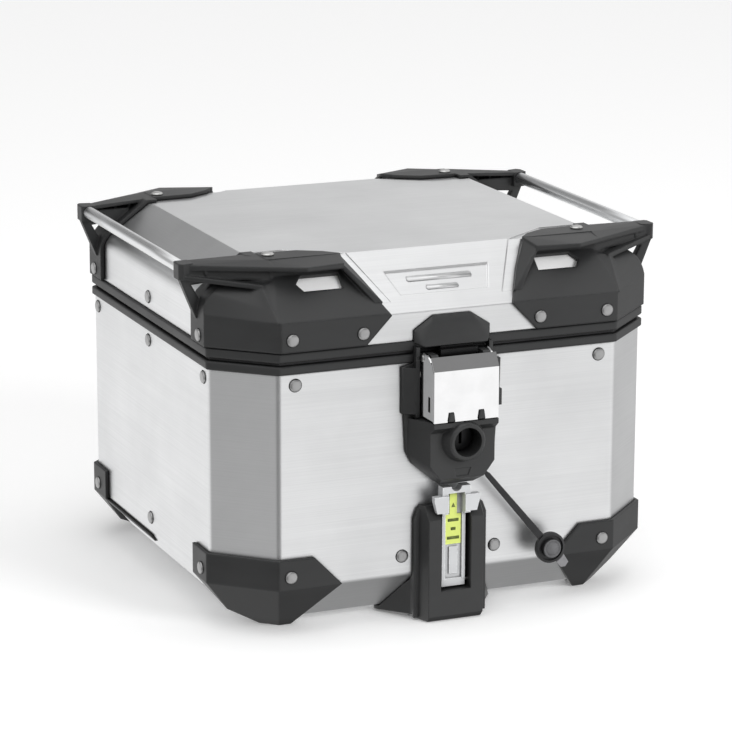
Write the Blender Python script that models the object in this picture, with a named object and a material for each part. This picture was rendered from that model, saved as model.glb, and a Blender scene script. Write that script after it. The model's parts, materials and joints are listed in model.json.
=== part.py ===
"""Aluminium motorcycle top case with a hinged lid, a draw latch and a quick-release base.

Metres, +Z up, +X to the right. The lock side faces -Y and the hinge side faces +Y.
The origin is under the middle of the case, on the plane that the case stands on.
"""
import math

import bmesh
import bpy
from mathutils import Matrix, Vector

# ---------------------------------------------------------------- driving dimensions
GAP = 0.0003                 # clearance left between neighbouring pieces
SHEET = 0.0015               # aluminium sheet thickness

CASE_Y = 0.014               # middle of the box from front wall to rear wall
BODY_HALF_X = 0.2006
BODY_HALF_Y = 0.1910
CHAMFER_X = 0.046            # corner chamfer, along the front wall
CHAMFER_Y = 0.043            # corner chamfer, along the side wall
BODY_TOP = 0.2259
CREASE_Z = 0.0410            # where the walls turn inwards towards the floor
FLOOR_Z = 0.0055
FLOOR_INSET = 0.030

RIM_HALF_X = 0.2026
RIM_HALF_Y = 0.1940
RIM_WIDTH = 0.0100
BODY_RIM_Z = (0.2262, 0.2336)
LID_RIM_Z = (0.2366, 0.2447)

LID_HALF_X = 0.2003
LID_HALF_Y = 0.1930
LID_BOTTOM = 0.2450
LID_SHEET = 0.0020           # the lid's sheet, which is pressed to shape
LID_FRONT_CREASE_Z = 0.2690
PLATEAU_HALF_X = 0.1565
PLATEAU_HALF_Y = 0.1440
PLATEAU_Z = 0.3132
PLATEAU_CORNER_X = 0.1400
SHOULDER_RADIUS = 0.0180     # bend between the side walls and the side slopes
SHOULDER_STEPS = 4
SIDE_SLOPE = math.radians(35.4)
SEAT_DEPTH = 0.0010          # how deep the bracket seats are pressed into the lid

TIP_X = 0.2200               # outer end of a bracket arm
PLATE_Z = (0.3126, 0.3157)   # top plate of a bracket
TIP_TOP = 0.3135             # top of an arm's tip
TUBE_X = 0.2135
TUBE_Z = 0.3080
TUBE_RADIUS = 0.0053
TUBE_END = 0.1195            # half length of a side tube

HINGE_Y = 0.2120
HINGE_Z = 0.2351
HINGE_X = 0.0950
HINGE_LENGTH = 0.0600
KNUCKLE_RADIUS = 0.0035
HINGE_PIN_RADIUS = 0.0014

LEVER_FRONT = -0.2112
LEVER_HALF_X = 0.0295
LEVER_BOTTOM = 0.1805
LEVER_SHEET = 0.0018
PIVOT = (-0.1876, 0.2312)    # y, z of the lever's pivot
HOOK_PIN = (-0.1805, 0.2159)  # y, z of the hook's pin in the lever
LATCH_PIN_RADIUS = 0.0016

KEY_Z = 0.1627
KEY_FRONT = -0.2155
COLLAR_FRONT_RADIUS = 0.0150
COLLAR_BACK_RADIUS = 0.0200
KEY_BORE = 0.0125

RELEASE_FRONT = -0.1937
RELEASE_PIVOT = (-0.1840, 0.0330)  # y, z of the release lever's pivot

CAP_CENTRE = (0.0865, 0.0554)      # x, z
CAP_ROOT = (0.0245, 0.1297)        # x, z of the strap's root
CAP_Y = -0.1978

WALL_FRONT = CASE_Y - BODY_HALF_Y  # y of the front wall
WALL_REAR = CASE_Y + BODY_HALF_Y

NORMAL_LENGTH = math.hypot(CHAMFER_X, CHAMFER_Y)
NORMAL_X = CHAMFER_Y / NORMAL_LENGTH
NORMAL_Y = CHAMFER_X / NORMAL_LENGTH
BODY_CHAMFER = NORMAL_X * (BODY_HALF_X - CHAMFER_X) + NORMAL_Y * BODY_HALF_Y


# ---------------------------------------------------------------- materials
def material(name, colour, roughness, metallic=0.0):
    """Return a plain Principled material."""
    made = bpy.data.materials.new(name)
    made.use_nodes = True
    shader = made.node_tree.nodes["Principled BSDF"]
    shader.inputs["Base Color"].default_value = (*colour, 1.0)
    shader.inputs["Roughness"].default_value = roughness
    shader.inputs["Metallic"].default_value = metallic
    made.diffuse_color = (*colour, 1.0)
    return made


def clear_scene():
    """Remove every object that the scene starts with."""
    for old in list(bpy.data.objects):
        bpy.data.objects.remove(old, do_unlink=True)


# ---------------------------------------------------------------- shape helpers
def finish_object(name, bm, mat=None, turn_out=True):
    """Turn a bmesh into a named object, by default turning its faces to point out."""
    if turn_out:
        bmesh.ops.recalc_face_normals(bm, faces=bm.faces)
        bmesh.ops.triangulate(bm, faces=bm.faces)
    mesh = bpy.data.meshes.new(name)
    bm.to_mesh(mesh)
    bm.free()
    made = bpy.data.objects.new(name, mesh)
    bpy.context.scene.collection.objects.link(made)
    if mat:
        mesh.materials.append(mat)
    return made


def loft(name, rings, mat=None):
    """Skin a closed solid over rings of equal point count and cap both ends."""
    bm = bmesh.new()
    loops = [[bm.verts.new(point) for point in ring] for ring in rings]
    count = len(loops[0])
    for low, high in zip(loops, loops[1:]):
        for i in range(count):
            j = (i + 1) % count
            bm.faces.new((low[i], low[j], high[j], high[i]))
    bm.faces.new(list(reversed(loops[0])))
    bm.faces.new(loops[-1])
    return finish_object(name, bm, mat)


def tube_ring(name, outer_rings, inner_rings, mat=None):
    """Skin a closed frame: outer rings going up, then inner rings going down."""
    bm = bmesh.new()
    loops = [[bm.verts.new(p) for p in ring] for ring in outer_rings + inner_rings]
    count = len(loops[0])
    for k, low in enumerate(loops):
        high = loops[(k + 1) % len(loops)]
        for i in range(count):
            j = (i + 1) % count
            bm.faces.new((low[i], low[j], high[j], high[i]))
    return finish_object(name, bm, mat)


def hull(name, points, mat=None):
    """Return the convex solid around the points."""
    bm = bmesh.new()
    for point in points:
        bm.verts.new(point)
    result = bmesh.ops.convex_hull(bm, input=bm.verts)
    loose = {item for key in ("geom_interior", "geom_unused") for item in result[key]}
    bmesh.ops.delete(bm, geom=[v for v in loose if isinstance(v, bmesh.types.BMVert)],
                     context="VERTS")
    return finish_object(name, bm, mat)


def box(name, x, y, z, mat=None):
    """Return a box from three (low, high) pairs."""
    return hull(name, [(a, b, c) for a in x for b in y for c in z], mat)


def extrude(name, outline, axis, low, high, mat=None):
    """Extrude a flat outline along X, Y or Z.

    The outline's points are (y, z) for X, (x, z) for Y and (x, y) for Z.
    """
    def place(point, along):
        spots = list(point)
        spots.insert("XYZ".index(axis), along)
        return tuple(spots)
    rings = [[place(point, along) for point in outline] for along in (low, high)]
    return loft(name, rings, mat)


def turned(name, profile, centre, axis, segments=32, mat=None):
    """Turn a closed (radius, along) profile around an axis through the centre."""
    bm = bmesh.new()
    loops = []
    for radius, along in profile:
        loop = []
        for k in range(segments):
            angle = 2 * math.pi * k / segments
            flat = (radius * math.cos(angle), radius * math.sin(angle))
            if axis == "X":
                spot = (along, centre[0] + flat[0], centre[1] + flat[1])
            elif axis == "Y":
                spot = (centre[0] + flat[0], along, centre[1] + flat[1])
            else:
                spot = (centre[0] + flat[0], centre[1] + flat[1], along)
            loop.append(bm.verts.new(spot))
        loops.append(loop)
    closed = profile[0][0] > 0 and len(profile) > 2 and profile[0] == profile[-1]
    if closed:
        bmesh.ops.delete(bm, geom=loops.pop(), context="VERTS")
    pairs = list(zip(loops, loops[1:] + loops[:1])) if closed else list(zip(loops, loops[1:]))
    for low, high in pairs:
        for i in range(segments):
            j = (i + 1) % segments
            bm.faces.new((low[i], low[j], high[j], high[i]))
    if not closed:
        bm.faces.new(loops[0])
        bm.faces.new(loops[-1])
    return finish_object(name, bm, mat)


def rod(name, centre, axis, low, high, radius, segments=24, mat=None):
    """Return a plain cylinder along an axis."""
    return turned(name, [(radius, low), (radius, high)], centre, axis, segments, mat)


def combine(target, others, operation, solver="EXACT"):
    """Apply a Boolean of the other objects to the target and remove them."""
    for other in others:
        step = target.modifiers.new("step", "BOOLEAN")
        step.operation = operation
        step.solver = solver
        step.object = other
        graph = bpy.context.evaluated_depsgraph_get()
        result = bpy.data.meshes.new_from_object(target.evaluated_get(graph))
        target.modifiers.remove(step)
        slots = list(target.data.materials)
        target.data = result
        result.materials.clear()
        for slot in slots:
            result.materials.append(slot)
        bpy.data.objects.remove(other, do_unlink=True)
    return target


def fuse(target, *others, solver="EXACT"):
    """Unite solids into the target."""
    return combine(target, others, "UNION", solver)


def cut(target, *others):
    """Take solids away from the target."""
    return combine(target, others, "DIFFERENCE")


def keep_inside(target, other):
    """Keep only what the target shares with the other solid."""
    return combine(target, [other], "INTERSECT")


def paint(target, mat):
    """Give an object its single material."""
    target.data.materials.clear()
    target.data.materials.append(mat)
    return target


def smooth(target, degrees=35):
    """Shade a round piece smooth, keeping its real edges sharp."""
    target.data.shade_smooth()
    target.data.set_sharp_from_angle(angle=math.radians(degrees))
    return target


def mirrored(source, name, flip_x=False, flip_y=False):
    """Return a copy mirrored about the case's middle planes."""
    bm = bmesh.new()
    bm.from_mesh(source.data)
    for vert in bm.verts:
        if flip_x:
            vert.co.x = -vert.co.x
        if flip_y:
            vert.co.y = 2 * CASE_Y - vert.co.y
    if flip_x != flip_y:
        bmesh.ops.reverse_faces(bm, faces=bm.faces)
    made = finish_object(name, bm, turn_out=False)
    for slot in source.data.materials:
        made.data.materials.append(slot)
    return made


def set_origin(target, spot):
    """Move an object's origin without moving its shape."""
    target.data.transform(Matrix.Translation(-Vector(spot)))
    target.location = spot
    return target


# ---------------------------------------------------------------- eight-sided outlines
def octagon(half_x, half_y, chamfer, z_front, z_side=None):
    """Return the case's eight-sided outline, with its own height at front and at sides."""
    z_side = z_front if z_side is None else z_side
    x = (chamfer - NORMAL_Y * half_y) / NORMAL_X
    y = (chamfer - NORMAL_X * half_x) / NORMAL_Y
    front = CASE_Y - half_y
    back = CASE_Y + half_y
    return [(-x, front, z_front), (x, front, z_front),
            (half_x, CASE_Y - y, z_side), (half_x, CASE_Y + y, z_side),
            (x, back, z_front), (-x, back, z_front),
            (-half_x, CASE_Y + y, z_side), (-half_x, CASE_Y - y, z_side)]


def body_ring(z, inset):
    """Return the body's outline at a height, moved in by the inset."""
    return octagon(BODY_HALF_X - inset, BODY_HALF_Y - inset, BODY_CHAMFER - inset, z)


def lid_rings(offset):
    """Return the lid's outlines from the skirt to the plateau, moved out by the offset."""
    turn = math.pi / 2 - SIDE_SLOPE
    flat_x = LID_HALF_X - SHOULDER_RADIUS
    bend_x = flat_x + SHOULDER_RADIUS * math.cos(turn)
    bend_z = PLATEAU_Z - (bend_x - PLATEAU_HALF_X) * math.tan(SIDE_SLOPE)
    wall_z = bend_z - SHOULDER_RADIUS * math.sin(turn)
    rings = [octagon(LID_HALF_X + offset, LID_HALF_Y + offset, BODY_CHAMFER + offset, LID_BOTTOM)]
    for k in range(SHOULDER_STEPS + 1):
        share = k / SHOULDER_STEPS
        angle = turn * share
        radius = SHOULDER_RADIUS + offset
        height = LID_FRONT_CREASE_Z + share * 0.008
        _, y, z = slope_point(0, height, offset)
        half_y = CASE_Y - y if k else LID_HALF_Y + offset
        z = z if k else LID_FRONT_CREASE_Z + offset * 0.446
        chamfer = BODY_CHAMFER - 0.007 * share + offset * (1 - 0.15 * share)
        rings.append(octagon(flat_x + radius * math.cos(angle), half_y, chamfer, z,
                             wall_z + radius * math.sin(angle)))
    slide = offset * 0.35
    plateau_chamfer = NORMAL_X * PLATEAU_CORNER_X + NORMAL_Y * PLATEAU_HALF_Y
    rings.append(octagon(PLATEAU_HALF_X + slide, PLATEAU_HALF_Y + slide,
                         plateau_chamfer + slide, PLATEAU_Z + offset))
    return rings


def slope_point(x, height, out):
    """Return a point on the lid's front slope: at x, at a height, standing out from it."""
    run = LID_HALF_Y - PLATEAU_HALF_Y
    climb = PLATEAU_Z - LID_FRONT_CREASE_Z
    length = math.hypot(run, climb)
    share = (height - LID_FRONT_CREASE_Z) / climb
    y = CASE_Y - LID_HALF_Y + run * share
    return (x, y - out * climb / length, height + out * run / length)


def slope_slab(name, outline, low, high):
    """Return a slab lying on the front slope, from an outline of (x, height) points."""
    rings = [[slope_point(x, height, out) for x, height in outline] for out in (low, high)]
    return loft(name, rings)


# ---------------------------------------------------------------- box and lid
def make_body(metal, plastic):
    """Sheet-metal tub with a plastic rim."""
    outer = [body_ring(FLOOR_Z, FLOOR_INSET), body_ring(CREASE_Z, 0), body_ring(BODY_TOP, 0)]
    inner = [body_ring(BODY_TOP, SHEET), body_ring(CREASE_Z, SHEET),
             body_ring(FLOOR_Z + SHEET, FLOOR_INSET + SHEET * 0.5)]
    loft("body_shell", outer + inner, metal)
    low, high = BODY_RIM_Z
    make_rim("body_rim", low, high, plastic)


def make_rim(name, low, high, mat):
    """Eight-sided rim that runs round the mouth of the tub or of the lid."""
    def ring(inset, z):
        return octagon(RIM_HALF_X - inset, RIM_HALF_Y - inset, BODY_CHAMFER + 0.0025 - inset, z)
    return tube_ring(name, [ring(0, low), ring(0, high)],
                     [ring(RIM_WIDTH, high), ring(RIM_WIDTH, low)], mat)


def make_seal(rubber):
    """Rubber seal under the lid's rim, just above the tub's rim."""
    low = BODY_RIM_Z[1] + GAP
    high = LID_RIM_Z[0] - GAP

    def ring(inset, z):
        return octagon(RIM_HALF_X - inset, RIM_HALF_Y - inset, BODY_CHAMFER + 0.0025 - inset, z)
    tube_ring("lid_seal", [ring(0.0035, low), ring(0.0035, high)],
              [ring(0.0085, high), ring(0.0085, low)], rubber)


def seat_cutters(sign_x, flip_y, lift=0.0):
    """Return the two solids that press a bracket seat: one on the slope, one on the top."""
    front = CASE_Y - PLATEAU_HALF_Y
    steps = ((0.2775, 0.0004, 0.0510), (PLATEAU_Z + 0.0010, SEAT_DEPTH, 0.0757))
    points = []
    for height, depth, inner in steps:
        for x in (inner, 0.1450 - lift):
            points += [slope_point(sign_x * x, height, out) for out in (lift - depth, 0.006)]
    outline = [(sign_x * x, y) for x, y in ((0.0750, front - 0.004), (0.0750, front),
                                            (0.1200, -0.0980), (0.1600, -0.0980),
                                            (0.1600, front - 0.004))]
    if flip_y:
        points = [(x, 2 * CASE_Y - y, z) for x, y, z in points]
        outline = [(x, 2 * CASE_Y - y) for x, y in outline]
    floor = PLATEAU_Z - SEAT_DEPTH + lift
    return hull("slope_seat", points), extrude("top_seat", outline, "Z", floor, floor + 0.01)


def make_lid(metal, plastic):
    """Pressed lid: skirt, rounded shoulders, slopes, flat top, bracket seats and a recess."""
    outer = lid_rings(0)
    inner = lid_rings(-LID_SHEET)
    inner[0] = [(x, y, LID_BOTTOM) for x, y, _ in inner[0]]
    lid = loft("lid_shell", list(reversed(outer)) + inner)
    for sign_x in (-1, 1):
        for flip_y in (False, True):
            cut(lid, *seat_cutters(sign_x, flip_y))
    floor = [(-0.0400, 0.2815), (0.0400, 0.2815), (0.0474, 0.2972), (-0.0474, 0.2972)]
    mouth = [(-0.0406, 0.2812), (0.0406, 0.2812), (0.0488, 0.2992), (-0.0488, 0.2992)]
    cut(lid, loft("recess", [[slope_point(x, height, out) for x, height in outline]
                             for outline, out in ((floor, -0.0010), (mouth, 0.0010))]))
    paint(lid, metal)
    make_rim("lid_rim", LID_RIM_Z[0], LID_RIM_Z[1], plastic)


def body_block(offset, low, high):
    """Solid with the body's outer shape, moved out by an offset, between two heights."""
    foot = FLOOR_Z - offset if low is None else low
    return loft("block", [body_ring(foot, FLOOR_INSET - offset * 0.6), body_ring(CREASE_Z, -offset),
                          body_ring(high, -offset)])


def make_corner_protectors(plastic):
    """Four moulded corner guards, which are also the feet."""
    thick = 0.0034
    left = -0.230
    front = -0.230
    shell = body_block(thick, 0.0, 0.090)
    cut(shell, body_block(GAP, None, 0.100))
    face = [(left, 0.0675), (-0.1236, 0.0668), (-0.0990, 0.0412), (-0.1340, -0.001), (left, -0.001)]
    side = [(front, 0.0675), (-0.1020, 0.0675), (-0.1020, 0.0418), (-0.1370, -0.001),
            (front, -0.001)]
    corner = keep_inside(shell, extrude("face", face, "Y", front, 0.0))
    corner = keep_inside(corner, extrude("side", side, "X", left, 0.0))
    corner.name = "corner_protector_front_left"
    paint(corner, plastic)
    mirrored(corner, "corner_protector_front_right", flip_x=True)
    rear = mirrored(corner, "corner_protector_rear_left", flip_y=True)
    strip = body_block(0.0026, 0.0, 0.090)
    strip.name = "strip"
    cut(strip, body_block(GAP, None, 0.100))
    keep_inside(strip, box("run", (left, -0.150), (0.010, 0.140), (0.0350, 0.0404)))
    fuse(rear, strip)
    paint(rear, plastic)
    mirrored(rear, "corner_protector_rear_right", flip_x=True)


# ---------------------------------------------------------------- lid brackets and tubes
def bracket_cover():
    """Part of a bracket that wraps the lid's corner."""
    outer = lid_rings(0.0038)
    outer[0] = [(x, y, LID_BOTTOM + 0.0006) for x, y, _ in outer[0]]
    cover = loft("cover", outer)
    cut(cover, lid_room())
    left = -0.230
    edge = [(left, 0.240), (-0.0775, 0.240), (-0.0775, 0.2463), (-0.0555, 0.2690),
            (-0.0710, 0.2928), (-0.0810, 0.3050), (-0.0880, 0.3140), (-0.0880, 0.320),
            (left, 0.320)]
    keep_inside(cover, extrude("edge", edge, "Y", -0.230, 0.0))
    keep_inside(cover, box("near", (left, 0.0), (-0.230, -0.1040), (0.240, PLATE_Z[1] - 0.0003)))
    beside = [(-0.0700, -0.1500), (-0.0840, -0.1384), (-0.0946, -0.1270), (-0.1140, -0.1155),
              (-0.1500, -0.1135), (-0.1500, -0.0900), (-0.0700, -0.0900)]
    cut(cover, extrude("beside", beside, "Z", PLATEAU_Z - 0.001, 0.330))
    return cover


def lid_room():
    """Return the lid's shape with clearance, to keep a bracket clear of it."""
    rings = lid_rings(2 * GAP)
    rings[0] = [(x, y, LID_BOTTOM - 0.02) for x, y, _ in rings[0]]
    room = loft("lid_room", rings)
    return cut(room, *seat_cutters(-1, False, 2 * GAP))


def bracket_plate():
    """Top plate of a bracket: a flat part on the lid and an eave that slopes to the front."""
    low, high = PLATE_Z
    flat = extrude("arm", [(-0.0845, -0.1377), (-0.0946, -0.1264), (-0.1140, -0.1150),
                           (-0.1500, -0.1130), (-0.1500, -0.1400), (-0.0890, -0.1400)],
                   "Z", low, high)
    top, under = high - 0.0001, low + 0.0001
    eave = hull("eave", [(-0.0840, -0.1385, top), (-0.0840, -0.1385, under), (-0.0870, -0.1345, top),
                         (-0.0870, -0.1345, under), (-0.1510, -0.1345, top), (-0.1510, -0.1345, under),
                         (-0.0885, -0.1583, 0.3113), (-0.0885, -0.1583, 0.3065),
                         (-0.1248, -0.1688, 0.3125), (-0.1248, -0.1688, 0.3090),
                         (-0.1510, -0.1547, 0.3123), (-0.1510, -0.1547, 0.3085)])
    tip_top = TIP_TOP - 0.0002
    reach = hull("reach", [(x, y, z - drop) for x, y, z, thick in (
        (-0.1490, -0.1132, high - 0.0002, 0.0027), (-0.1490, -0.1400, high - 0.0002, 0.0027),
        (-0.1490, -0.1558, 0.3122, 0.0036), (-TIP_X + 0.006, -0.1065, tip_top, 0.0031),
        (-TIP_X + 0.0025, -0.1190, tip_top - 0.0010, 0.0050)) for drop in (0, thick)])
    return [flat, eave, reach]


def bracket_braces():
    """Wall and strut under a bracket's eave, its ridge on the corner and its inner flange."""
    tip = -TIP_X + 0.003
    wall = hull("wall", [(-0.0890, -0.1440, 0.3135), (-0.0890, -0.1480, 0.3010),
                         (-0.0890, -0.1400, 0.3080), (-0.1500, -0.1445, 0.3135),
                         (-0.1500, -0.1480, 0.3010), (-0.1500, -0.1390, 0.3080)])
    web = hull("web", [(-0.1490, -0.1445, 0.3135), (-0.1490, -0.1480, 0.3000),
                       (-0.1490, -0.1420, 0.3030), (-0.1490, -0.1390, 0.3135),
                       (tip + 0.001, -0.1200, 0.3120), (tip + 0.001, -0.1210, 0.3006),
                       (tip + 0.001, -0.1170, 0.3006), (tip + 0.001, -0.1170, 0.3120)])
    start = tip + 0.0005
    strut = hull("strut", [(start, -0.1231, 0.3042), (start, -0.1231, 0.3003), (start, -0.1180, 0.3042),
                           (start, -0.1180, 0.3003), (-0.1583, -0.1556, 0.2976),
                           (-0.1583, -0.1556, 0.2936), (-0.1550, -0.1460, 0.2976),
                           (-0.1550, -0.1460, 0.2936)])
    ridge = hull("ridge", [(-0.1598, -0.1538, 0.2968), (-0.1558, -0.1826, 0.2704),
                           (-0.1300, -0.1532, 0.2940), (-0.1340, -0.1440, 0.3020),
                           (-0.1560, -0.1440, 0.2976), (-0.1540, -0.1780, 0.2704),
                           (-0.1860, -0.1490, 0.2730), (-0.1740, -0.1420, 0.2900)])
    flange = hull("flange", [slope_point(-0.0602, 0.2760, 0.0043), slope_point(-0.0602, 0.2760, 0.001),
                             slope_point(-0.0670, 0.2760, 0.0043), slope_point(-0.0670, 0.2760, 0.001),
                             slope_point(-0.0714, 0.2928, 0.0048), slope_point(-0.0714, 0.2928, 0.001),
                             slope_point(-0.0812, 0.3050, 0.0045), slope_point(-0.0812, 0.3050, 0.001),
                             (-0.0850, -0.1400, 0.3146), (-0.0895, -0.1570, 0.3106),
                             (-0.0900, -0.1572, 0.3072), (-0.0885, -0.1410, 0.3060)])
    end = hull("end", [(x, y, z) for x, y in ((-TIP_X, -0.1200), (-TIP_X, -0.1080),
                                              (-TIP_X + 0.002, -0.1060), (-TIP_X + 0.0125, -0.1060),
                                              (-TIP_X + 0.0125, -0.1210), (tip, -0.1235))
                       for z in (0.3000, TIP_TOP)])
    return [wall, web, strut, ridge, flange, end]


def bracket_arm():
    """Plate, braces and ribs of a bracket's arm, in one piece."""
    arm, *others = bracket_plate()
    fuse(arm, *others, *bracket_braces(), solver="MANIFOLD")
    for x in (-0.2000, -0.1870, -0.1740):
        rib = extrude("rib", [(-0.1110, 0.3130), (-0.1400, 0.3130), (-0.1400, 0.3040),
                              (-0.1190, 0.3040)], "X", x, x + 0.002)
        keep_inside(rib, box("trim", (-0.21, -0.15), (-0.1440 + (-0.150 - x) * 0.31, -0.10),
                             (0.29, 0.3118)))
        fuse(arm, rib, solver="MANIFOLD")
    return arm


def bracket_gusset():
    """Triangular brace between the arm's tip and the lid's side."""
    outline = [(-0.2195, 0.3020), (-0.2050, 0.2665), (-0.2022, 0.2665), (-0.2022, 0.2815),
               (-0.1850, 0.2960), (-0.1740, 0.3045), (-0.1740, 0.3080), (-0.2195, 0.3080)]
    brace = extrude("brace", outline, "Y", -0.1200, -0.1130)
    opening = [(-0.2090, 0.2950), (-0.2022, 0.2830), (-0.1900, 0.2965)]
    return cut(brace, extrude("opening", opening, "Y", -0.130, -0.100))


def make_brackets(plastic):
    """Four lid brackets, one per corner."""
    bracket = fuse(bracket_cover(), bracket_arm(), bracket_gusset(), solver="MANIFOLD")
    hole = [(-0.0895, 0.2880), (-0.0895, 0.2985), (-0.1240, 0.2985), (-0.1300, 0.2932),
            (-0.1250, 0.2880)]
    combine(bracket, [lid_room()], "DIFFERENCE", "MANIFOLD")
    combine(bracket, [slope_slab("hole", hole, -0.002, 0.0075)], "DIFFERENCE", "MANIFOLD")
    bracket.name = "bracket_front_left"
    paint(bracket, plastic)
    mirrored(bracket, "bracket_front_right", flip_x=True)
    mirrored(bracket, "bracket_rear_left", flip_y=True)
    mirrored(bracket, "bracket_rear_right", flip_x=True, flip_y=True)


def make_tubes(metal, steel):
    """Two side tubes between the brackets and four domed screws on top."""
    for side, sign in (("left", -1), ("right", 1)):
        tube = rod("side_tube_" + side, (sign * TUBE_X, TUBE_Z), "Y", CASE_Y - TUBE_END,
                   CASE_Y + TUBE_END, TUBE_RADIUS, 24, metal)
        smooth(tube)
        for end, way in (("front", -1), ("rear", 1)):
            spot = (sign * 0.143, CASE_Y + way * 0.138)
            base = PLATE_Z[1] + GAP
            dome = [(0.0055, base), (0.0055, base + 0.0008), (0.0046, base + 0.0017),
                    (0.0026, base + 0.0023)]
            smooth(turned("top_screw_%s_%s" % (end, side), dome, spot, "Z", 20, steel))


# ---------------------------------------------------------------- rear hinges
def make_hinges(metal, steel):
    """Two short hinges on the rear rims: a leaf per side and a pin each."""
    face = CASE_Y + RIM_HALF_Y + GAP
    centre = (HINGE_Y, HINGE_Z)
    third = HINGE_LENGTH / 3
    for side, sign in (("left", -1), ("right", 1)):
        start = sign * HINGE_X - HINGE_LENGTH / 2
        body_leaf = box("hinge_body_leaf_" + side, (start, start + HINGE_LENGTH),
                        (face, face + 0.0020), (0.2266, 0.2334))
        lid_leaf = box("hinge_lid_leaf_" + side, (start + third + GAP, start + 2 * third - GAP),
                       (face, face + 0.0020), (0.2376, 0.2443))
        for k in (0, 2):
            low = start + k * third
            fuse(body_leaf, rod("knuckle", centre, "X", low, low + third, KNUCKLE_RADIUS, 20))
        fuse(lid_leaf, rod("knuckle", centre, "X", start + third + GAP, start + 2 * third - GAP,
                           KNUCKLE_RADIUS, 20))
        cut(body_leaf, box("middle", (start + third, start + 2 * third), (0.20, 0.22),
                           (0.2312, 0.24)))
        for leaf in (body_leaf, lid_leaf):
            cut(leaf, rod("bore", centre, "X", start - 0.01, start + HINGE_LENGTH + 0.01,
                          HINGE_PIN_RADIUS + GAP, 20))
            smooth(paint(leaf, metal))
        set_origin(lid_leaf, (0, HINGE_Y, HINGE_Z))
        smooth(rod("hinge_pin_" + side, centre, "X", start, start + HINGE_LENGTH,
                   HINGE_PIN_RADIUS, 16, steel))


# ---------------------------------------------------------------- lock housing and draw latch
def make_lock_housing(plastic):
    """Moulded housing on the front wall, with a bore for the lock and cheeks for the lever."""
    back = WALL_FRONT - GAP
    flange = -0.1800
    half = [(0.0156, 0.1215), (0.0360, 0.1390), (0.0410, 0.1490), (0.0430, 0.1820),
            (0.0450, 0.2020), (0.0455, 0.2230), (0.0350, 0.2258)]
    outline = half + [(-x, z) for x, z in reversed(half)]
    housing = extrude("lock_housing", outline, "Y", flange, back)
    cut(housing, box("lever_room", (-0.0315, 0.0315), (-0.22, -0.17), (0.2060, 0.2400)))
    for side in (-1, 1):
        wing = [(0.0340, -0.1865), (0.0362, -0.1862), (0.0455, -0.1788), (0.0455, -0.1776),
                (0.0340, -0.1776)]
        wing = extrude("wing", [(side * x, y) for x, y in wing], "Z", 0.1832, 0.2228)
        low, high = sorted((side * 0.0317, side * 0.0351))
        flank = box("flank", (low, high), (-0.1868, -0.1803), (0.1800, 0.2406))
        fuse(housing, wing, flank)
    front = -0.2040
    block = hull("block", [(s * x, y, z) for s in (-1, 1) for x, y, z in (
        (0.0156, -0.1920, 0.1215), (0.0156, flange, 0.1215), (0.0360, flange, 0.1390),
        (0.0400, flange, 0.1500), (0.0400, flange, 0.1790), (0.0297, front, 0.1415),
        (0.0297, front, 0.1795), (0.0200, front, 0.1290))])
    ledge = hull("ledge", [(s * x, y, z) for s in (-1, 1) for x, y, z in (
        (0.0297, LEVER_FRONT, 0.1755), (0.0297, LEVER_FRONT, 0.1797), (0.0297, -0.1960, 0.1797),
        (0.0297, -0.2030, 0.1690), (0.0297, -0.1960, 0.1690))])
    core = box("core", (-0.0268, 0.0268), (-0.2055, flange + 0.0005), (0.1740, 0.2060))
    fuse(housing, block, ledge, core)
    cheek = [(-0.2055, 0.2050), (-0.2018, 0.2050), (-0.2018, 0.2210), (-0.1950, 0.2265),
             (-0.1860, 0.2267), (-0.1834, 0.2290), (-0.1834, 0.2335), (-0.1860, 0.2356),
             (-0.1980, 0.2356), (-0.2030, 0.2300), (-0.2055, 0.2240)]
    for side in (-1, 1):
        low, high = sorted((side * 0.0205, side * 0.0268))
        fuse(housing, extrude("cheek", cheek, "X", low, high))
    fin = hull("fin", [(x, y, z) for x, y in ((0.0340, -0.1790), (0.0410, -0.1790), (0.0405, -0.1940),
                                              (0.0370, -0.1940)) for z in (0.1860, 0.2000)])
    fuse(housing, fin)
    cut(housing, rod("pivot_bore", PIVOT, "X", -0.05, 0.05, LATCH_PIN_RADIUS + GAP, 16))
    collar = [(COLLAR_BACK_RADIUS, front + 0.0010), (COLLAR_BACK_RADIUS - 0.0020, front - 0.0040),
              (COLLAR_FRONT_RADIUS + 0.0012, KEY_FRONT + 0.0012), (COLLAR_FRONT_RADIUS, KEY_FRONT)]
    fuse(housing, turned("collar", collar, (0, KEY_Z), "Y", 32))
    cut(housing, rod("lock_bore", (0, KEY_Z), "Y", -0.230, -0.1835, KEY_BORE, 32))
    mark = [(-0.0070, 0.1375), (0.0080, 0.1375), (0.0055, 0.1308), (-0.0060, 0.1308)]
    cut(housing, extrude("mark", mark, "Y", -0.230, front + 0.0006))
    paint(housing, plastic)


def make_lock_cylinder(steel):
    """Barrel that the key turns, with its keyway."""
    barrel = rod("lock_cylinder", (0, KEY_Z), "Y", -0.1990, -0.1840, KEY_BORE - 0.0015, 32)
    cut(barrel, box("keyway", (-0.0012, 0.0012), (-0.210, -0.1910), (KEY_Z - 0.0050, KEY_Z + 0.0050)))
    smooth(paint(barrel, steel))
    set_origin(barrel, (0, -0.1915, KEY_Z))


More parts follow.
